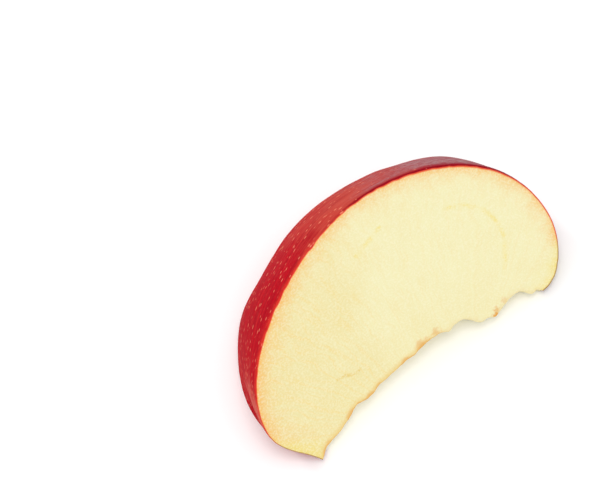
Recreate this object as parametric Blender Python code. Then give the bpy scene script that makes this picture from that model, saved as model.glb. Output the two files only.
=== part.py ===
"""One wedge of a red apple with its core cut out, lying on one of its two cut faces.

Metres, +Z up. X runs along the apple's own axis, with the stem end at +X. The skin faces +Y and the
cut-out core faces -Y. The origin lies on the surface under the wedge, at the middle of its box.

The wedge is a fan of meridian sections of the whole apple, all through the apple's axis. The lowest
section is the face that it lies on, and the highest is the open cut face.
"""

import math

import bmesh
import bpy
from mathutils import Vector
from mathutils.geometry import interpolate_bezier

# The whole apple
APPLE_LENGTH = 0.068  # from the rim round the calyx to the rim round the stem
BELLY_RADIUS = 0.0409
BELLY_SHIFT = 0.0024  # the widest place lies this far from mid-length, towards the stem
CALYX_RIM_RADIUS = 0.0137
STEM_RIM_RADIUS = 0.0149
CALYX_BASIN_DEPTH = 0.0064
STEM_CAVITY_DEPTH = 0.0083

# Five lobes stand round the apple. Between two of them the calyx rim dips and the flanks fill out.
LOBE_COUNT = 5
LOBE_DIP = 0.0024
CALYX_FLANK_SWELL = 0.0039  # at belly radius, and in proportion nearer the axis
STEM_FLANK_SWELL = 0.0028
FLANK_START = 0.0145  # how far from mid-length the flanks begin
FLANK_BLEND = 0.0145  # and the length over which they reach their full swell

# The wedge, and the knife's path round the core as distances from the apple's axis
WEDGE_ANGLE = math.radians(45)
CALYX_TIP_RADIUS = 0.0024
SCOOP_RADIUS = 0.0088
SCOOP_SHIFT = 0.0015  # the scoop's deepest place, from mid-length towards the stem
RIDGE_RADIUS = 0.0046
RIDGE_BEHIND_TIP = 0.0107  # from the wedge's stem tip towards the calyx
DENT_RADIUS = 0.0056
DENT_BEHIND_TIP = 0.0050
STEM_TIP_RADIUS = 0.0027

# How full the curves are, as a share of each curve's reach; 0.55 makes a round quarter
CALYX_RIM_FULLNESS = 0.55
CALYX_BELLY_FULLNESS = 0.40
STEM_BELLY_FULLNESS = 0.46
STEM_RIM_FULLNESS = 0.63
BASIN_FULLNESS = 0.40
CAVITY_FULLNESS = 0.50
CUT_FULLNESS = 0.60

# Mesh fineness
FLANK_STEPS = 20  # from a rim to the belly
HOLLOW_STEPS = 8  # from a rim down to the wedge's tip
CUT_STEPS = 7  # along each stretch of the core cut
ANGLE_STEPS = 16
SHARP_ANGLE = math.radians(35)

# Each surface's colour and roughness
SKIN_FINISH = ((0.52, 0.015, 0.025, 1.0), 0.35)
FLESH_FINISH = ((0.90, 0.83, 0.55, 1.0), 0.55)
CORE_CUT_FINISH = ((0.86, 0.72, 0.42, 1.0), 0.65)
SKIN_SLOT, FLESH_SLOT, CORE_CUT_SLOT = range(3)


def clear_scene():
    for thing in list(bpy.data.objects):
        bpy.data.objects.remove(thing, do_unlink=True)


def smooth_step(share):
    share = min(max(share, 0.0), 1.0)
    return share * share * (3.0 - 2.0 * share)


def bezier(start, start_pull, end_pull, end, steps):
    """Points along one curve, all but its last. The pulls are its handles, measured from its ends."""
    return interpolate_bezier(start, start + start_pull, end + end_pull, end, steps + 1)[:-1]


def calyx_tip():
    return Vector((-APPLE_LENGTH / 2 + CALYX_BASIN_DEPTH, CALYX_TIP_RADIUS))


def stem_tip():
    return Vector((APPLE_LENGTH / 2 - STEM_CAVITY_DEPTH, STEM_TIP_RADIUS))


def skin_outline():
    """The skin in one section, as (x, distance from the axis), from the calyx tip to the stem tip."""
    calyx_rim = Vector((-APPLE_LENGTH / 2, CALYX_RIM_RADIUS))
    belly = Vector((BELLY_SHIFT, BELLY_RADIUS))
    stem_rim = Vector((APPLE_LENGTH / 2, STEM_RIM_RADIUS))
    calyx_side = belly - calyx_rim
    stem_side = stem_rim - belly
    basin = calyx_rim - calyx_tip()
    cavity = stem_tip() - stem_rim
    along = Vector((1.0, 0.0))
    out = Vector((0.0, 1.0))
    curves = (
        (calyx_tip(), basin * BASIN_FULLNESS, -out * basin.y * BASIN_FULLNESS, calyx_rim, HOLLOW_STEPS),
        (
            calyx_rim,
            out * calyx_side.y * CALYX_RIM_FULLNESS,
            -along * calyx_side.x * CALYX_BELLY_FULLNESS,
            belly,
            FLANK_STEPS,
        ),
        (
            belly,
            along * stem_side.x * STEM_BELLY_FULLNESS,
            -out * stem_side.y * STEM_RIM_FULLNESS,
            stem_rim,
            FLANK_STEPS,
        ),
        (
            stem_rim,
            out * cavity.y * CAVITY_FULLNESS,
            -along * cavity.x * CAVITY_FULLNESS,
            stem_tip(),
            HOLLOW_STEPS,
        ),
    )
    return [point for curve in curves for point in bezier(*curve)]


def core_outline():
    """The knife's path in one section, from the stem tip back to the calyx tip."""
    places = (
        stem_tip(),
        Vector((stem_tip().x - DENT_BEHIND_TIP, DENT_RADIUS)),
        Vector((stem_tip().x - RIDGE_BEHIND_TIP, RIDGE_RADIUS)),
        Vector((SCOOP_SHIFT, SCOOP_RADIUS)),
        calyx_tip(),
    )
    points = []
    for start, end in zip(places, places[1:]):
        level = Vector(((end.x - start.x) * CUT_FULLNESS, 0.0))
        start_pull = Vector((0.0, 0.0)) if start == places[0] else level
        end_pull = Vector((0.0, 0.0)) if end == places[-1] else -level
        points += bezier(start, start_pull, end_pull, end, CUT_STEPS)
    return points


def on_section(point, angle):
    """Where a point of the outline lies at this angle about the apple's axis, lobes included."""
    between_lobes = (1.0 - math.cos(LOBE_COUNT * (WEDGE_ANGLE - angle))) / 2.0
    calyx_share = between_lobes * smooth_step((-point.x - FLANK_START) / FLANK_BLEND)
    stem_share = between_lobes * smooth_step((point.x - FLANK_START) / FLANK_BLEND)
    swell = (CALYX_FLANK_SWELL * calyx_share + STEM_FLANK_SWELL * stem_share) / BELLY_RADIUS
    radius = point.y * (1.0 + swell)
    x = point.x + LOBE_DIP * calyx_share
    return Vector((x, radius * math.cos(angle), radius * math.sin(angle)))


def wedge_mesh():
    skin = skin_outline()
    outline = skin + core_outline()
    bm = bmesh.new()
    sections = []
    for step in range(ANGLE_STEPS + 1):
        angle = WEDGE_ANGLE * step / ANGLE_STEPS
        sections.append([bm.verts.new(on_section(point, angle)) for point in outline])
    for lower, upper in zip(sections, sections[1:]):
        for i in range(len(outline)):
            after = (i + 1) % len(outline)
            side = bm.faces.new((lower[i], lower[after], upper[after], upper[i]))
            side.material_index = SKIN_SLOT if i < len(skin) else CORE_CUT_SLOT
    for section in (sections[0], sections[-1]):
        bm.faces.new(section).material_index = FLESH_SLOT
    bmesh.ops.recalc_face_normals(bm, faces=bm.faces)
    mesh = bpy.data.meshes.new("apple_slice")
    bm.to_mesh(mesh)
    bm.free()
    return mesh


def finish(name, colour, roughness):
    material = bpy.data.materials.new(name)
    material.use_nodes = True
    shader = material.node_tree.nodes["Principled BSDF"]
    shader.inputs["Base Color"].default_value = colour
    shader.inputs["Roughness"].default_value = roughness
    shader.inputs["Metallic"].default_value = 0.0
    return material


def centre_over_origin(thing):
    """Moves a thing along X and Y so that its box stands over the origin."""
    for axis in range(2):
        places = [vert.co[axis] for vert in thing.data.vertices]
        thing.location[axis] = -(min(places) + max(places)) / 2.0


def make_apple_slice():
    mesh = wedge_mesh()
    mesh.materials.append(finish("apple_skin", *SKIN_FINISH))
    mesh.materials.append(finish("apple_flesh", *FLESH_FINISH))
    mesh.materials.append(finish("apple_core_cut", *CORE_CUT_FINISH))
    mesh.shade_smooth()
    mesh.set_sharp_from_angle(angle=SHARP_ANGLE)
    apple_slice = bpy.data.objects.new("apple_slice", mesh)
    bpy.context.scene.collection.objects.link(apple_slice)
    centre_over_origin(apple_slice)


clear_scene()
make_apple_slice()
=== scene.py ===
"""The looks of one apple wedge: waxy red skin, moist cut flesh and the knife's rough cut round the core.

The CAD wedge gives the shape. Its sections through the apple's axis are read back from its mesh,
smoothed, and made into one fine closed mesh with the small unevenness of a real apple. Three
materials cover it. Lengths are metres, but inside the materials, and in the attributes that they read
from the mesh, they are millimetres.
"""

import math

import bmesh
import bpy
import numpy as np
from mathutils import Matrix, Vector, noise


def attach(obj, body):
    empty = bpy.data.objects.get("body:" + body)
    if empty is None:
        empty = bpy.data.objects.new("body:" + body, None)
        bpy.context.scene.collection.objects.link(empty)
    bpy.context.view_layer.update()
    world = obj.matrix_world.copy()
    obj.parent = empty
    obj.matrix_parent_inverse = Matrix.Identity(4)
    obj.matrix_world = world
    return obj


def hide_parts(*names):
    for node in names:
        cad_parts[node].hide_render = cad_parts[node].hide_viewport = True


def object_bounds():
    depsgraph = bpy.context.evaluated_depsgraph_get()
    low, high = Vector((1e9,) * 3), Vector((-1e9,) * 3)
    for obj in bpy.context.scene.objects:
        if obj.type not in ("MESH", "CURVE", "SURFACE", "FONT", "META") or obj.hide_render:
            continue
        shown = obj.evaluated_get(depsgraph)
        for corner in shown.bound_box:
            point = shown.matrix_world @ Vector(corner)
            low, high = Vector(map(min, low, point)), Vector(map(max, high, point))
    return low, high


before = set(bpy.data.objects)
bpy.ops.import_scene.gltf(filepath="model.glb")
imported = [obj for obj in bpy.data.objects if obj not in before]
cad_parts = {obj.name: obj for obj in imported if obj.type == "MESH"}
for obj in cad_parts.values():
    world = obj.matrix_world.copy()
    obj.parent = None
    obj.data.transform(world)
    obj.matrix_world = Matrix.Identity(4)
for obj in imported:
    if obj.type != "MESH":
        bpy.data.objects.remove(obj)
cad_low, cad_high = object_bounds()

MM = 0.001
NODE = "apple_slice"
CAD_STEPS = 16  # the CAD's steps from one cut face to the other
SAME_CAD_PLACE = MM / 1000  # the CAD's vertices this close are one,
SAME_PLACE = MM / 10000  # and this close in the fine mesh
SKIN_SLOT, FLESH_SLOT, CORE_SLOT = range(3)

# Fineness of the wedge's mesh
ALONG_STEPS = 280  # from the calyx tip to the stem tip
AROUND_STEPS = 64  # from one cut face to the other
ACROSS_STEPS = 72  # over a cut face, from the core cut to the skin
CURVE_STEPS = 12  # between two of the CAD outline's points, while it is smoothed
EDGE_CROWDING = 0.85  # 0 spreads the rows evenly, and towards 1 they crowd at the edges

# Unevenness, as (size of one bump, height)
SKIN_LUMPS = ((0.0140, 0.00040), (0.0050, 0.00010))
SKIN_NIBBLES = ((0.0035, 0.00030), (0.0012, 0.00012))  # beside the cuts, where the knife tore the skin
CUT_WAVES = ((0.0110, 0.00010), (0.0030, 0.00004))
CORE_CHIPS = ((0.0060, 0.00022), (0.0020, 0.00018), (0.0008, 0.00010))
LUMPS_START = 0.004  # from a cut, before the skin's lumps have their full height
NIBBLES_END = 0.001  # from a cut, where the nibbles have faded out
TIP_FADE = 0.04  # share of the length over which unevenness fades out towards each tip
EDGE_FADE = 0.3  # share of a cut face's width over which its waves fade out towards each edge
LIP = 0.0005  # width of the rounding along every cut edge
LIP_DROP = 0.00013  # how far it drops at the edge itself

# Towards the stem the skin bulges a little under the upper cut
CUT_BULGE = 0.00028
CUT_BULGE_BELOW = 0.0016  # how far under the cut the bulge is highest
CUT_BULGE_WIDTH = 0.0009
CUT_BULGE_START = 0.006  # the x where it begins
CUT_BULGE_BLEND = 0.012

# Where the knife went deeper or less deep along the core: x, change of radius, width
CORE_STEPS = (
    (-0.0255, 0.0005, 0.0022),
    (-0.0170, 0.0005, 0.0014),
    (-0.0130, -0.0004, 0.0016),
    (-0.0055, -0.0004, 0.0040),
    (-0.0026, -0.0003, 0.0010),
    (0.0058, -0.0005, 0.0010),
    (0.0095, 0.0019, 0.0021),
    (0.0135, 0.0004, 0.0008),
    (0.0152, -0.0003, 0.0006),
    (0.0234, -0.0014, 0.0012),
)
CORE_STEPS_BELOW = 1.1  # their size at the lower cut, as a share of that at the upper one
CORE_LEAN = 0.0008  # how much deeper the knife went at the lower cut than at the upper one

CALYX_TIP_SLANT = 0.0013  # how much further from the apple's axis the tip's lower corner lies
CALYX_TIP_REACH = 0.0025  # how far from the tip this has mostly faded out

# Lines in the flesh, in a section's (x, radius)
VEIN_RING = ((0.0165, 0.0290), (0.0211, 0.0264), (0.0240, 0.0220), (0.0241, 0.0170), (0.0213, 0.0114))
VEIN_DASH = ((-0.0025, 0.0319), (0.0015, 0.0330), (0.0040, 0.0337))
CRACK = ((-0.0174, 0.0138), (-0.0158, 0.0136), (-0.0140, 0.0127), (-0.0128, 0.0127))

# Brown spots on the cut faces: a section's (x, radius), size, strength
BRUISES = (
    ((0.0152, 0.0045), 0.0011, 1.0),
    ((0.0160, 0.0053), 0.0011, 0.6),
    ((0.0182, 0.0060), 0.0009, 0.3),
    ((0.0036, 0.0092), 0.0014, 0.5),
    ((0.0016, 0.0089), 0.0009, 0.4),
    ((-0.0002, 0.0092), 0.0016, 0.5),
)

# Patterns in the materials, in millimetres: round the apple and along it, and through the core cut
STREAK = (0.9, 14.0, 1.0)
BROAD_STREAK = (3.0, 40.0, 1.0)
FINE_STREAK = (0.6, 12.0, 1.0)
MOTTLE = (0.9, 1.8, 1.0)
WRINKLE = (1.4, 3.5, 1.0)
LENTICEL_SPACING = (0.8, 1.5, 1.0)
FIBRE_WIDTH = 0.9
FIBRE_LENGTH = 6.0
CORE_FIBRE = (6.0, 0.7, 0.7)

# The camera, about the middle of the wedge's box
CAMERA_AZIMUTH = math.radians(-36.92)
CAMERA_ELEVATION = math.radians(66.64)
CAMERA_ROLL = math.radians(2.13)
CAMERA_DISTANCE = 0.7128
CAMERA_LENS = 230.8  # mm
AIM_RIGHT = -0.01308  # where the camera aims, from that middle and in the camera's own directions
AIM_UP = 0.00552

# Colours, as a picture shows them: red, green and blue up to 255
CRIMSON = (160, 2, 24)
CHERRY = (190, 12, 28)
WINE = (142, 4, 24)
# orange blush, partly real colour and partly painted sheen
BLUSH_AND_SHEEN = (198, 80, 64)
PLUM = (128, 14, 40)
# partly real waxy bloom and partly painted sheen, a reflection of light at grazing angles
BLOOM_AND_SHEEN = (178, 144, 146)
# painted sheen at the calyx end
CALYX_SHEEN = (218, 124, 106)
LENTICEL = (232, 132, 104)
EDGE_GLOW = (224, 66, 48)
RUSSET = (136, 84, 40)
STEM_GREEN = (180, 166, 66)
TIP_FLESH = (230, 208, 112)
CREAM = (231, 225, 177)
WARM_CREAM = (227, 215, 158)
FIBRE = (230, 210, 142)
PALE_GRAIN = (240, 236, 210)
UNDER_SKIN = (234, 176, 84)
SKIN_LINE = (216, 62, 32)
TIP_LINE = (164, 118, 44)
VEIN = (230, 208, 92)
BROWNED = (220, 158, 72)
TANNED = (228, 196, 116)
CRACKED = (220, 190, 96)
CORE_CREAM = (238, 230, 186)
FLOOR_WHITE = (250, 250, 250)

SKIN_COAT = 0.06
SKIN_COAT_ROUGHNESS = 0.18

# Floor and light
FLOOR_SIZE = 6.0
FLOOR_ROUGHNESS = 0.9
HORIZON_LIGHT = 0.75
ZENITH_LIGHT = 1.0
AREA_LIGHTS = (  # name, place, width, power in watts
    ("softbox", (-0.12, -0.16, 1.2), 0.5, 3.75),
    ("glint", (-0.3, 0.75, 0.65), 0.15, 1.5),
    ("fill", (0.25, -0.6, 0.2), 0.4, 0.15),
)


# ---------------------------------------------------------------- the CAD wedge's sections


def wedge_angle_and_axis(mesh):
    """The angle between the two cut faces, and the y of the apple's axis, where their planes meet."""
    open_face = max((p for p in mesh.polygons if p.normal.z > 0.0), key=lambda p: p.area)
    normal = open_face.normal
    corner = mesh.vertices[open_face.vertices[0]].co
    return math.atan2(-normal.y, normal.z), corner.y + corner.z * normal.z / normal.y


def walk(start, neighbours):
    """The closed loop through start, each of its points once."""
    loop = [start, neighbours[start][0]]
    while True:
        onward = [n for n in neighbours[loop[-1]] if n != loop[-2]][0]
        if onward == start:
            return loop
        loop.append(onward)


def split_at_tips(loop):
    """(skin, core): two (n, 2) arrays of (x, radius), both from the calyx tip to the stem tip."""
    arriving = loop - np.roll(loop, 1, axis=0)
    leaving = np.roll(loop, -1, axis=0) - loop
    cross = arriving[:, 0] * leaving[:, 1] - arriving[:, 1] * leaving[:, 0]
    turn = np.abs(np.arctan2(cross, (arriving * leaving).sum(axis=1)))
    tips = sorted(np.argsort(turn)[-2:], key=lambda i: loop[i, 0])
    loop = np.roll(loop, -tips[0], axis=0)
    stem = (tips[1] - tips[0]) % len(loop)
    one_way = loop[: stem + 1]
    other_way = np.vstack((loop[stem:], loop[:1]))[::-1]
    core, skin = sorted((one_way, other_way), key=lambda way: way[:, 1].max())
    return skin, core


def section_neighbours(bm, section_of):
    """For each vertex, the two next to it round its own section.

    The faces beside such an edge reach another section, and those inside a cut face don't.
    """
    neighbours = {v: [] for v in bm.verts}
    for edge in bm.edges:
        one, other = edge.verts
        sections = {section_of[v] for face in edge.link_faces for v in face.verts}
        if section_of[one] == section_of[other] and len(sections) > 1:
            neighbours[one].append(other)
            neighbours[other].append(one)
    return neighbours


def cad_sections():
    """(axis_y, angles, skins, cores) of the CAD wedge, from the face it lies on to the open one."""
    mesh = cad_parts[NODE].data
    wedge_angle, axis_y = wedge_angle_and_axis(mesh)
    bm = bmesh.new()
    bm.from_mesh(mesh)
    bmesh.ops.remove_doubles(bm, verts=bm.verts, dist=SAME_CAD_PLACE)
    section_of = {}
    for vertex in bm.verts:
        angle = math.atan2(vertex.co.z, vertex.co.y - axis_y)
        section_of[vertex] = round(angle / wedge_angle * CAD_STEPS)
    neighbours = section_neighbours(bm, section_of)
    skins, cores = [], []
    for section in range(CAD_STEPS + 1):
        start = next(v for v in bm.verts if section_of[v] == section)
        loop = [(v.co.x, math.hypot(v.co.y - axis_y, v.co.z)) for v in walk(start, neighbours)]
        skin, core = split_at_tips(np.array(loop))
        skins.append(skin)
        cores.append(core)
    bm.free()
    return axis_y, np.linspace(0.0, wedge_angle, CAD_STEPS + 1), skins, cores


# ---------------------------------------------------------------- the fine mesh


def crowded_shares(count):
    """Shares from 0 to 1 that crowd towards both ends."""
    even = np.linspace(0.0, 1.0, count + 1)
    return even - EDGE_CROWDING * np.sin(2.0 * math.pi * even) / (2.0 * math.pi)


def smooth_curve(points):
    """A Catmull-Rom curve through points, an (n, k) array, with CURVE_STEPS steps between each two."""
    padded = np.vstack((2 * points[0] - points[1], points, 2 * points[-1] - points[-2]))
    before, start, end, after = (padded[i : len(padded) - 3 + i, None] for i in range(4))
    share = np.linspace(0.0, 1.0, CURVE_STEPS, endpoint=False)[None, :, None]
    curve = start + 0.5 * (
        (end - before) * share
        + (2.0 * before - 5.0 * start + 4.0 * end - after) * share**2
        + (3.0 * start - before - 3.0 * end + after) * share**3
    )
    return np.vstack((curve.reshape(-1, points.shape[1]), points[-1]))


def spread(points, count):
    """count + 1 points at even distances along a smooth curve through points."""
    curve = smooth_curve(points)
    walked = np.concatenate(([0.0], np.cumsum(np.linalg.norm(np.diff(curve, axis=0), axis=1))))
    wanted = np.linspace(0.0, walked[-1], count + 1)
    return np.stack([np.interp(wanted, walked, column) for column in curve.T], axis=1)


def at_angles(rows, angles, wanted):
    """Rows of points, one for each of angles, made over for each wanted angle."""
    flat = smooth_curve(np.array(rows).reshape(len(rows), -1))
    fine_angles = smooth_curve(angles[:, None])[:, 0]
    made = np.stack([np.interp(wanted, fine_angles, column) for column in flat.T], axis=1)
    return made.reshape(len(wanted), -1, 2)


def relief(place, layers, seed):
    """Height of a smooth random relief at a place, up to the layers' heights either way."""
    offset = Vector((seed, 2.0 * seed, 3.0 * seed))
    return sum(height * noise.noise(place / size + offset) for size, height in layers)


def smooth_rise(value, width):
    """0 up to a value of 0, and 1 from the width on."""
    share = np.clip(value / width, 0.0, 1.0)
    return share * share * (3.0 - 2.0 * share)


def calm_ends(shares, width):
    """0 at both ends of the shares, rising to 1 over the width."""
    return smooth_rise(np.minimum(shares, 1.0 - shares), width)


def bell(away, width):
    """1 in the middle, falling off smoothly on both sides."""
    return np.exp(-((away / width) ** 2))


def lip_drop(distance):
    """How far a cut edge's rounding lies below the plain surface, at a distance from the edge."""
    return LIP_DROP * np.clip(1.0 - distance / LIP, 0.0, 1.0) ** 2


def in_space(x, radius, angle, lift, axis_y):
    """A point from its section's (x, radius), its angle, and its lift off the section's plane."""
    across = radius * math.cos(angle) - lift * math.sin(angle)
    up = radius * math.sin(angle) + lift * math.cos(angle)
    return Vector((x, axis_y + across, up))


def distances(points, line):
    """Each point's distance to a line of points."""
    start, step = line[:-1], np.diff(line, axis=0)
    away = points[:, None] - start
    share = np.clip((away * step).sum(axis=2) / (step * step).sum(axis=1), 0.0, 1.0)
    return np.linalg.norm(away - share[..., None] * step, axis=2).min(axis=1)


def walked_along(row):
    """The distance from the row's start to each of its points."""
    return np.concatenate(([0.0], np.cumsum(np.linalg.norm(np.diff(row, axis=0), axis=1))))


class Wedge:
    """The wedge's fine mesh while it is made, patch by patch."""

    def __init__(self):
        self.axis_y, cad_angles, cad_skins, cad_cores = cad_sections()
        self.angles = cad_angles[-1] * crowded_shares(AROUND_STEPS)
        self.bm = bmesh.new()
        layers = self.bm.verts.layers
        self.skin_place = layers.float_vector.new("skin_place")
        self.section_place = layers.float_vector.new("section_place")
        self.to_stem = layers.float.new("to_stem")
        self.skin_depth = layers.float.new("skin_depth")
        self.core_depth = layers.float.new("core_depth")
        self.from_upper_cut = layers.float.new("from_upper_cut")
        self.off_vein = layers.float.new("off_vein")
        self.off_crack = layers.float.new("off_crack")
        self.calm_tips = calm_ends(np.linspace(0.0, 1.0, ALONG_STEPS + 1), TIP_FADE)
        self.skins = self.rows(cad_skins, cad_angles)
        self.cores = self.rows(cad_cores, cad_angles)
        for skin, core, angle in zip(self.skins, self.cores, self.angles):
            self.slant_calyx_tip(skin, angle)
            self.slant_calyx_tip(core, angle)
            self.roughen_skin(skin, angle)
            self.roughen_core(core, angle)
        self.belly_radius = self.skins[:, :, 1].max()
        self.skin_length = walked_along(self.skins[0])[-1]

    def rows(self, cad_rows, cad_angles):
        """The CAD's rows as evenly spread points, at this mesh's own angles."""
        return at_angles([spread(row, ALONG_STEPS) for row in cad_rows], cad_angles, self.angles)

    def share_down(self, angle):
        """0 at the upper cut and 1 at the lower one."""
        return 1.0 - angle / self.angles[-1]

    def slant_calyx_tip(self, row, angle):
        """The knife's cut slants at the calyx tip."""
        near_tip = bell(walked_along(row), CALYX_TIP_REACH)
        row[:, 1] += CALYX_TIP_SLANT * self.share_down(angle) * near_tip

    def cut_distance(self, row, angle):
        """How far the row's points are from the nearer cut face."""
        return row[:, 1] * min(angle, self.angles[-1] - angle)

    def into(self, angle):
        """Which way leads into the wedge from the nearer cut face: 1 for up and -1 for down."""
        return 1.0 if angle < self.angles[-1] / 2.0 else -1.0

    def relief_along(self, row, angle, layers, seed):
        """The relief's height at each of the row's points."""
        places = [in_space(x, radius, angle, 0.0, self.axis_y) for x, radius in row]
        return np.array([relief(place, layers, seed) for place in places])

    def cut_bulge(self, row, angle):
        """How far the skin bulges at each of the row's points."""
        under_cut = row[:, 1] * (self.angles[-1] - angle)
        bulge = CUT_BULGE * bell(under_cut - CUT_BULGE_BELOW, CUT_BULGE_WIDTH)
        return bulge * smooth_rise(row[:, 0] - CUT_BULGE_START, CUT_BULGE_BLEND)

    def roughen_skin(self, row, angle):
        """Lumps between the cuts, nibbles beside them, a bulge under the upper one, and rounded edges."""
        to_cut = self.cut_distance(row, angle)
        lumps = self.relief_along(row, angle, SKIN_LUMPS, seed=1.0) * smooth_rise(to_cut, LUMPS_START)
        nibbles = np.abs(self.relief_along(row, angle, SKIN_NIBBLES, seed=2.0))
        nibbles *= 1.0 - smooth_rise(to_cut, NIBBLES_END)
        bulge = self.cut_bulge(row, angle)
        row[:, 1] += self.calm_tips * (lumps + bulge - nibbles - lip_drop(to_cut))

    def roughen_core(self, row, angle):
        """The knife's steps, its lean, chips and rounded edges."""
        down = self.share_down(angle)
        size = 1.0 + (CORE_STEPS_BELOW - 1.0) * down
        steps = sum(change * bell(row[:, 0] - x, width) for x, change, width in CORE_STEPS)
        chips = self.relief_along(row, angle, CORE_CHIPS, seed=3.0)
        edge = lip_drop(self.cut_distance(row, angle))
        row[:, 1] += self.calm_tips * (size * steps + down * CORE_LEAN + chips + edge)

    def add_vertex(self, section_point, angle, lift, along, skin_depth, core_depth):
        """A vertex with the attributes that every patch has."""
        x, radius = section_point
        vertex = self.bm.verts.new(in_space(x, radius, angle, lift, self.axis_y))
        vertex[self.skin_place] = Vector((angle * self.belly_radius, along, 0.0)) / MM
        vertex[self.to_stem] = (self.skin_length - along) / MM
        vertex[self.section_place] = Vector((x, radius, 0.0)) / MM
        vertex[self.skin_depth] = skin_depth / MM
        vertex[self.core_depth] = core_depth / MM
        vertex[self.from_upper_cut] = radius * (self.angles[-1] - angle) / MM
        return vertex

    def add_faces(self, grid, material):
        """Quads between neighbouring rows of vertices."""
        for row, following in zip(grid, grid[1:]):
            for corners in zip(row, row[1:], following[1:], following):
                self.bm.faces.new(corners).material_index = material

    def add_outer(self, rows, material):
        """The skin or the core cut: everything that lies between the two cut faces."""
        grid = []
        to_skin = distances(rows[0], self.skins[0])
        to_core = distances(rows[0], self.cores[0])
        for row, angle in zip(rows, self.angles):
            lifts = self.into(angle) * lip_drop(self.cut_distance(row, angle))
            measures = zip(row, lifts, walked_along(row), to_skin, to_core)
            grid.append([self.add_vertex(point, angle, *others) for point, *others in measures])
        self.add_faces(grid, material)

    def add_cut(self, section, material):
        """One flat cut face, ruled from the core cut to the skin."""
        skin, core, angle = self.skins[section], self.cores[section], self.angles[section]
        shares = crowded_shares(ACROSS_STEPS)
        calm = calm_ends(shares, EDGE_FADE)
        along = walked_along(skin)
        veins = [smooth_curve(np.array(line)) for line in (VEIN_RING, VEIN_DASH)]
        crack = np.array(CRACK)
        grid = []
        for i in range(ALONG_STEPS + 1):
            points = core[i] + shares[:, None] * (skin[i] - core[i])
            to_skin, to_core = distances(points, skin), distances(points, core)
            off_vein = np.min([distances(points, vein) for vein in veins], axis=0)
            off_crack = distances(points, crack)
            waves = calm * self.calm_tips[i] * self.relief_along(points, angle, CUT_WAVES, seed=4.0)
            lifts = self.into(angle) * (np.abs(waves) + lip_drop(np.minimum(to_skin, to_core)))
            row = []
            for j, point in enumerate(points):
                vertex = self.add_vertex(point, angle, lifts[j], along[i], to_skin[j], to_core[j])
                vertex[self.off_vein] = off_vein[j] / MM
                vertex[self.off_crack] = off_crack[j] / MM
                row.append(vertex)
            grid.append(row)
        self.add_faces(grid, material)

    def mesh(self, name):
        """The finished mesh. The patches meet in pairs of vertices, and each pair becomes one."""
        bmesh.ops.remove_doubles(self.bm, verts=self.bm.verts, dist=SAME_PLACE)
        bmesh.ops.recalc_face_normals(self.bm, faces=self.bm.faces)
        for face in self.bm.faces:
            face.smooth = True
        made = bpy.data.meshes.new(name)
        self.bm.to_mesh(made)
        self.bm.free()
        return made


def make_wedge():
    """The piece that stands for the CAD wedge, with its three materials."""
    wedge = Wedge()
    wedge.add_outer(wedge.skins, SKIN_SLOT)
    wedge.add_outer(wedge.cores, CORE_SLOT)
    wedge.add_cut(0, FLESH_SLOT)
    wedge.add_cut(AROUND_STEPS, FLESH_SLOT)
    mesh = wedge.mesh("apple_wedge")
    # In the order of the slots
    for material in (skin_material(), flesh_material(), core_material()):
        mesh.materials.append(material)
    piece = bpy.data.objects.new("apple_wedge", mesh)
    bpy.context.scene.collection.objects.link(piece)
    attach(piece, "root")
    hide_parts(NODE)


# ---------------------------------------------------------------- materials


def linear(colour):
    """A colour given as a picture shows it, as a shader takes it, by the sRGB standard's curve."""
    shares = [part / 255.0 for part in colour]
    return [c / 12.92 if c <= 0.04045 else ((c + 0.055) / 1.055) ** 2.4 for c in shares] + [1.0]


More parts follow.
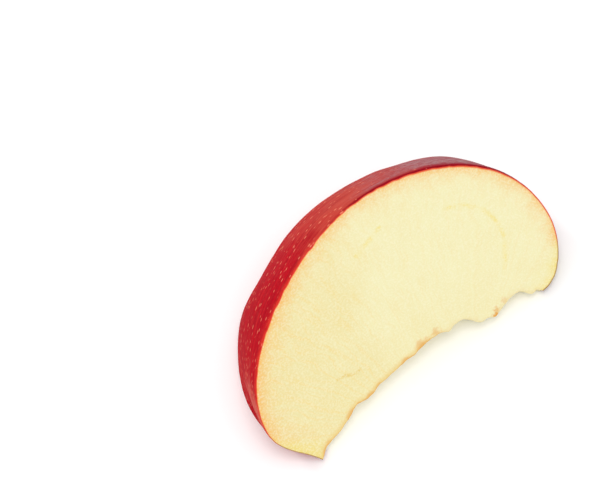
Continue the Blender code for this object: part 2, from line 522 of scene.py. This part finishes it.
class Look:
    """One material's nodes. Lengths are millimetres, and noises run from 0 to 1."""

    def __init__(self, name):
        self.material = bpy.data.materials.new(name)
        self.material.use_nodes = True
        self.tree = self.material.node_tree
        self.shader = self.tree.nodes["Principled BSDF"]

    def set(self, node, key, value):
        """Sets one input, to another node's output or to a plain value."""
        if isinstance(value, bpy.types.NodeSocket):
            self.tree.links.new(value, node.inputs[key])
        else:
            node.inputs[key].default_value = value

    def add(self, kind, inputs, output=0, **settings):
        """A new node with its inputs and settings, given as the socket of its output."""
        node = self.tree.nodes.new("ShaderNode" + kind)
        for name, value in settings.items():
            setattr(node, name, value)
        for key, value in inputs.items():
            self.set(node, key, value)
        return node.outputs[output]

    def attribute(self, name, output="Vector"):
        """What the mesh carries under a name, here as a place."""
        return self.add("Attribute", {}, output, attribute_name=name)

    def number(self, name):
        return self.attribute(name, "Fac")

    def part_of(self, place, axis):
        return self.add("SeparateXYZ", {0: place}, axis)

    def join(self, x, y, z=0.0):
        return self.add("CombineXYZ", {0: x, 1: y, 2: z})

    def maths(self, operation, one, other=0.0):
        return self.add("Math", {0: one, 1: other}, operation=operation)

    def times(self, one, other):
        return self.maths("MULTIPLY", one, other)

    def plus(self, one, other):
        return self.maths("ADD", one, other)

    def space(self):
        """The place on the object."""
        place = self.add("TexCoord", {}, "Object")
        return self.add("VectorMath", {0: place, 1: [1.0 / MM] * 3}, operation="MULTIPLY")

    def over(self, place, sizes):
        """A place measured in its own unit along each axis."""
        return self.add("VectorMath", {0: place, 1: sizes}, operation="DIVIDE")

    def noise(self, place, size, detail=2.0, roughness=0.5):
        inputs = {"Vector": place, "Scale": 1.0 / size, "Detail": detail, "Roughness": roughness}
        return self.add("TexNoise", inputs)

    def stretched_noise(self, place, sizes, detail=2.0, roughness=0.5):
        """A noise whose bumps have a size of their own along each axis."""
        return self.noise(self.over(place, sizes), 1.0, detail, roughness)

    def rise(self, value, start, end, low=0.0, high=1.0):
        """low before start, high after end, and a smooth change between them."""
        inputs = {0: value, 1: start, 2: end, 3: low, 4: high}
        return self.add("MapRange", inputs, interpolation_type="SMOOTHSTEP")

    def mix(self, share, one, other):
        """Two colours mixed: share 0 gives one, and 1 gives other.

        The node takes colours at its inputs 6 and 7, and gives one at its output 2.
        """
        colours = [linear(c) if isinstance(c, tuple) else c for c in (one, other)]
        return self.add("Mix", {0: share, 6: colours[0], 7: colours[1]}, 2, data_type="RGBA")

    def bump(self, height, depth, below=None):
        """A bump whose height of 1 is so many millimetres deep, on top of another one."""
        inputs = {"Height": height, "Strength": 1.0, "Distance": depth * MM}
        if below:
            inputs["Normal"] = below
        return self.add("Bump", inputs)

    def finish(self, colour, roughness, normal, specular):
        for key, value in (("Base Color", colour), ("Roughness", roughness), ("Normal", normal)):
            self.set(self.shader, key, value)
        self.set(self.shader, "Specular IOR Level", specular)
        return self.material


# In the functions below, x runs from -34 at the calyx end to 34 at the stem end


def skin_creases(look, place):
    """1 along thin wandering lines, and 0 beside them."""
    wrinkles = look.stretched_noise(place, WRINKLE, detail=4.0, roughness=0.7)
    off_line = look.maths("ABSOLUTE", look.maths("SUBTRACT", wrinkles, 0.5))
    return look.rise(off_line, 0.03, 0.0)


def ragged_x(look, space, streaks):
    """The x along the apple, with a ragged and streaky change from one zone to the next."""
    x = look.part_of(look.attribute("section_place"), 0)
    patches = look.noise(space, size=9.0, detail=4.0, roughness=0.6)
    x = look.plus(x, look.rise(patches, 0.2, 0.8, low=-6.0, high=6.0))
    return look.plus(x, look.rise(streaks, 0.2, 0.8, low=-3.0, high=3.0))


def red_skin(look, place, streaks, mottling):
    """Crimson and cherry streaks, with darker and paler mottling."""
    broad_streaks = look.stretched_noise(place, BROAD_STREAK, detail=3.0, roughness=0.6)
    colour = look.mix(look.rise(streaks, 0.3, 0.7), CRIMSON, CHERRY)
    colour = look.mix(look.rise(broad_streaks, 0.45, 0.75, high=0.4), colour, WINE)
    colour = look.mix(look.rise(mottling, 0.5, 0.75, high=0.3), colour, BLUSH_AND_SHEEN)
    return look.mix(look.rise(mottling, 0.45, 0.25, high=0.6), colour, WINE)


def blushed_and_sheened(look, colour, x, from_cut, streaks):
    """An orange blush in the middle of the length, and plum skin towards the stem. The blush, strongest
    near the upper cut, is partly real colour and partly painted sheen from the light.
    """
    blush_and_sheen = look.times(look.rise(x, -16.0, 4.0), look.rise(x, 22.0, 2.0))
    blush_and_sheen = look.times(blush_and_sheen, look.rise(from_cut, 24.0, 6.0, low=0.25))
    blush_and_sheen = look.times(blush_and_sheen, look.rise(streaks, 0.3, 0.7, low=0.5, high=0.9))
    colour = look.mix(blush_and_sheen, colour, BLUSH_AND_SHEEN)
    return look.mix(look.rise(x, -4.0, 28.0, high=0.7), colour, PLUM)


def bloomed_and_sheened(look, colour, x, from_cut, mottling, creases):
    """A greyish waxy bloom towards the stem, patchy, and thicker in the creases. It is partly real bloom
    and partly painted sheen: the pale colour near the upper cut stands in for the reflection of light at
    grazing angles.
    """
    bloom_and_sheen = look.times(look.rise(from_cut, 0.3, 2.0), look.rise(from_cut, 20.0, 6.0, low=0.25))
    bloom_and_sheen = look.times(bloom_and_sheen, look.rise(x, 0.0, 20.0, high=0.85))
    patches = look.rise(mottling, 0.3, 0.7, low=0.1, high=0.95)
    patches = look.plus(patches, look.times(creases, 0.3))
    return look.mix(look.times(bloom_and_sheen, patches), colour, BLOOM_AND_SHEEN)


def beside_upper_cut(look, colour, x, from_cut, mottling):
    """The skin's edge: thin and glowing towards the calyx, torn and dark towards the stem."""
    glow = look.times(look.rise(from_cut, 1.5, 0.0), look.rise(mottling, 0.3, 0.6, low=0.1, high=0.5))
    glow = look.times(glow, look.rise(x, 5.0, -10.0))
    colour = look.mix(glow, colour, EDGE_GLOW)
    torn = look.times(look.rise(from_cut, 0.8, 0.4), look.rise(x, -6.0, 4.0, high=0.9))
    return look.mix(torn, colour, WINE)


def lenticels(look, place, x):
    """How much of a pale dot shows. The dots differ in size and are smaller towards the stem."""
    cells = {"Vector": look.over(place, LENTICEL_SPACING), "Scale": 1.0}
    off_middle = look.add("TexVoronoi", cells, "Distance")
    chance = look.part_of(look.add("TexVoronoi", cells, "Color"), 0)
    size = look.rise(chance, 0.0, 1.0, low=0.05, high=0.30)
    size = look.times(size, look.rise(x, 22.0, 0.0, low=0.5))
    return look.rise(look.maths("DIVIDE", off_middle, size), 1.3, 0.4, high=0.8)


def round_the_stem(look, colour, space):
    """Green skin, and then russet, down in the stem's cavity."""
    wander = look.rise(look.noise(space, size=2.0), 0.0, 1.0, high=6.0)
    to_stem = look.plus(look.number("to_stem"), wander)
    colour = look.mix(look.rise(to_stem, 14.0, 6.0, high=0.8), colour, STEM_GREEN)
    return look.mix(look.rise(to_stem, 6.0, 3.5), colour, RUSSET)


def skin_bumps(look, place, space, x, creases, dots):
    """Fine grain, streaks from end to end, creases towards the stem, and raised lenticels."""
    normal = look.bump(look.noise(space, size=0.7, detail=3.0), depth=0.02)
    normal = look.bump(look.stretched_noise(place, FINE_STREAK), depth=0.03, below=normal)
    normal = look.bump(look.times(creases, look.rise(x, -5.0, 10.0)), depth=0.03, below=normal)
    return look.bump(dots, depth=0.02, below=normal)


def skin_material():
    """Waxy red skin: streaks from end to end, a bloom and a blush that are both partly painted sheen, a
    painted sheen at the calyx end, pale lenticels, and russet round the stem.
    """
    look = Look("apple_skin")
    place = look.attribute("skin_place")
    space = look.space()
    from_cut = look.number("from_upper_cut")
    streaks = look.stretched_noise(place, STREAK, detail=4.0, roughness=0.6)
    mottling = look.stretched_noise(place, MOTTLE, detail=5.0, roughness=0.75)
    creases = skin_creases(look, place)
    x = ragged_x(look, space, streaks)
    colour = red_skin(look, place, streaks, mottling)
    # Orange blush, partly painted sheen
    colour = blushed_and_sheened(look, colour, x, from_cut, streaks)
    # Bloom, partly painted sheen
    colour = bloomed_and_sheened(look, colour, x, from_cut, mottling, creases)
    # Painted sheen: the calyx end is paler, a pinkish reflection of light painted into the skin's colour
    colour = look.mix(look.rise(x, -30.0, -38.0, high=0.55), colour, CALYX_SHEEN)
    colour = beside_upper_cut(look, colour, x, from_cut, mottling)
    dots = lenticels(look, place, x)
    colour = look.mix(dots, colour, LENTICEL)
    colour = round_the_stem(look, colour, space)
    roughness = look.rise(look.noise(space, size=1.6, detail=3.0), 0.3, 0.7, low=0.38, high=0.5)
    normal = skin_bumps(look, place, space, x, creases, dots)
    look.set(look.shader, "Coat Weight", SKIN_COAT)
    look.set(look.shader, "Coat Roughness", SKIN_COAT_ROUGHNESS)
    return look.finish(colour, roughness, normal, specular=0.0)


def plain_flesh(look, space, x):
    """Cream, warmer in patches and towards the calyx."""
    patches = look.noise(space, size=12.0, detail=3.0)
    warmth = look.plus(patches, look.rise(x, 18.0, -30.0, low=-0.25, high=0.25))
    return look.mix(look.rise(warmth, 0.2, 0.8), CREAM, WARM_CREAM)


def fibrous(look, colour, space, x, along, skin_depth):
    """Wavering fibres that run from the core to the skin, clearer towards the calyx."""
    waver = look.rise(look.noise(space, size=5.0), 0.0, 1.0, low=-2.0, high=2.0)
    across = look.maths("DIVIDE", look.plus(along, waver), FIBRE_WIDTH)
    down = look.maths("DIVIDE", skin_depth, FIBRE_LENGTH)
    fibres = look.noise(look.join(across, down), size=1.0, detail=3.0)
    clearness = look.rise(x, 5.0, -20.0, low=0.3, high=0.9)
    return look.mix(look.times(look.rise(fibres, 0.4, 0.75), clearness), colour, FIBRE)


def tinted(look, colour, space, x, skin_depth, near_tip):
    """The tint under the skin, deeper towards the calyx and yellow near both tips."""
    patches = look.noise(space, size=2.5, detail=4.0, roughness=0.7)
    ragged = look.rise(patches, 0.3, 0.7, low=0.6, high=1.5)
    reach = look.times(look.rise(x, -8.0, -24.0, low=1.2, high=1.7), ragged)
    tint = look.maths("EXPONENT", look.times(look.maths("DIVIDE", skin_depth, reach), -1.0))
    return look.mix(tint, colour, look.mix(near_tip, UNDER_SKIN, TIP_FLESH))


def veined(look, colour, space):
    """The veins and the crack, as faint and broken lines."""
    broken = look.rise(look.noise(space, size=1.8, detail=3.0), 0.35, 0.65, low=0.15)
    vein = look.rise(look.number("off_vein"), 0.7, 0.1, high=0.55)
    colour = look.mix(look.times(vein, broken), colour, VEIN)
    crack = look.rise(look.number("off_crack"), 0.5, 0.1, high=0.8)
    return look.mix(look.times(crack, broken), colour, CRACKED)


def browned(look, colour, space, x):
    """Browning along the core cut: a pale band, patches in it, and the bruises."""
    core_depth = look.number("core_depth")
    exposed = look.rise(x, 7.0, -1.0, low=0.1, high=0.8)
    band = look.rise(core_depth, 1.5, 0.0)
    colour = look.mix(look.times(band, exposed), colour, TANNED)
    reach = look.rise(look.noise(space, size=4.0, detail=3.0), 0.4, 0.65, low=0.2, high=1.3)
    patches = look.rise(look.maths("DIVIDE", core_depth, reach), 1.0, 0.0)
    colour = look.mix(look.times(patches, exposed), colour, BROWNED)
    section = look.attribute("section_place")
    ragged = look.rise(look.noise(space, size=0.8, detail=3.0), 0.2, 0.8, low=-0.6, high=0.6)
    for place, size, strength in BRUISES:
        middle = [part / MM for part in place] + [0.0]
        off_middle = look.add("VectorMath", {0: section, 1: middle}, "Value", operation="DISTANCE")
        bruise = look.rise(look.plus(off_middle, ragged), size / MM, 0.2, high=strength)
        colour = look.mix(bruise, colour, BROWNED)
    return colour


def edged(look, colour, x, skin_depth, near_tip):
    """The skin's own thickness, as a line round the flesh."""
    thickness = look.rise(x, -5.0, 20.0, low=0.25, high=0.42)
    line = look.rise(look.maths("DIVIDE", skin_depth, thickness), 1.0, 0.2)
    return look.mix(line, colour, look.mix(near_tip, SKIN_LINE, TIP_LINE))


def flesh_material():
    """Moist pale flesh, tinted under the skin and browned where the knife met the core."""
    look = Look("apple_flesh")
    space = look.space()
    x = look.part_of(look.attribute("section_place"), 0)
    along = look.part_of(look.attribute("skin_place"), 1)
    skin_depth = look.number("skin_depth")
    near_stem = look.rise(look.number("to_stem"), 11.0, 7.5)
    near_calyx = look.rise(along, 14.0, 8.0)
    near_tip = look.maths("MAXIMUM", near_stem, near_calyx)
    grain = look.noise(space, size=0.35, detail=2.0)
    colour = plain_flesh(look, space, x)
    colour = fibrous(look, colour, space, x, along, skin_depth)
    colour = tinted(look, colour, space, x, skin_depth, near_tip)
    colour = veined(look, colour, space)
    colour = look.mix(look.rise(grain, 0.4, 0.7, high=0.35), colour, PALE_GRAIN)
    colour = browned(look, colour, space, x)
    colour = edged(look, colour, x, skin_depth, near_tip)
    roughness = look.rise(grain, 0.3, 0.7, low=0.42, high=0.58)
    normal = look.bump(grain, depth=0.03)
    normal = look.bump(look.noise(space, size=1.6, detail=3.0), depth=0.04, below=normal)
    return look.finish(colour, roughness, normal, specular=0.3)


def core_material():
    """The rough cut where the knife took the core out."""
    look = Look("apple_core_cut")
    space = look.space()
    patches = look.noise(space, size=6.0, detail=3.0)
    colour = look.mix(look.rise(patches, 0.4, 0.7), CORE_CREAM, CREAM)
    fibres = look.stretched_noise(space, CORE_FIBRE, detail=4.0)
    colour = look.mix(look.rise(fibres, 0.5, 0.8, high=0.6), colour, BROWNED)
    roughness = look.rise(fibres, 0.3, 0.7, low=0.45, high=0.65)
    normal = look.bump(fibres, depth=0.15)
    return look.finish(colour, roughness, normal, specular=0.35)


# ---------------------------------------------------------------- floor, light and camera


def add_floor():
    bpy.ops.mesh.primitive_plane_add(size=FLOOR_SIZE)
    floor = bpy.context.object
    floor.name = "floor"
    look = Look("floor")
    look.set(look.shader, "Base Color", linear(FLOOR_WHITE))
    look.set(look.shader, "Roughness", FLOOR_ROUGHNESS)
    floor.data.materials.append(look.material)


def add_area_light(name, place, width, power):
    """A square light that faces the origin."""
    light = bpy.data.lights.new(name, "AREA")
    light.size = width
    light.energy = power
    holder = bpy.data.objects.new(name, light)
    holder.location = place
    holder.rotation_euler = (-Vector(place)).to_track_quat("-Z", "Y").to_euler()
    bpy.context.scene.collection.objects.link(holder)


def add_world():
    """White light from all round, a little weaker towards the horizon and below it."""
    world = bpy.data.worlds.new("studio")
    world.use_nodes = True
    background = world.node_tree.nodes["Background"]
    background.inputs["Color"].default_value = (1.0, 1.0, 1.0, 1.0)
    links, nodes = world.node_tree.links, world.node_tree.nodes
    height = nodes.new("ShaderNodeSeparateXYZ")
    strength = nodes.new("ShaderNodeMapRange")
    strength.inputs["To Min"].default_value = HORIZON_LIGHT
    strength.inputs["To Max"].default_value = ZENITH_LIGHT
    links.new(nodes.new("ShaderNodeTexCoord").outputs["Generated"], height.inputs[0])
    links.new(height.outputs["Z"], strength.inputs["Value"])
    links.new(strength.outputs[0], background.inputs["Strength"])
    bpy.context.scene.world = world


def add_camera(middle):
    """The camera at the photograph's angle, aimed a little to the side of the wedge's middle."""
    tilt = Matrix.Rotation(math.pi / 2.0 - CAMERA_ELEVATION, 3, "X")
    turn = Matrix.Rotation(CAMERA_AZIMUTH, 3, "Z") @ tilt
    right, up, back = turn.col
    place = middle + CAMERA_DISTANCE * back
    aim = middle + AIM_RIGHT * right + AIM_UP * up
    toward = (place - aim).normalized()
    top = up * math.cos(CAMERA_ROLL) + right * math.sin(CAMERA_ROLL)
    side = top.cross(toward).normalized()
    axes = Matrix((side, toward.cross(side), toward)).transposed()
    camera = bpy.data.cameras.new("camera")
    camera.lens = CAMERA_LENS
    holder = bpy.data.objects.new("camera", camera)
    holder.matrix_world = Matrix.Translation(place) @ axes.to_4x4()
    bpy.context.scene.collection.objects.link(holder)
    bpy.context.scene.camera = holder


make_wedge()
add_floor()
add_world()
for light in AREA_LIGHTS:
    add_area_light(*light)
add_camera((Vector(cad_low) + Vector(cad_high)) / 2.0)
bpy.context.scene.view_settings.view_transform = "Standard"
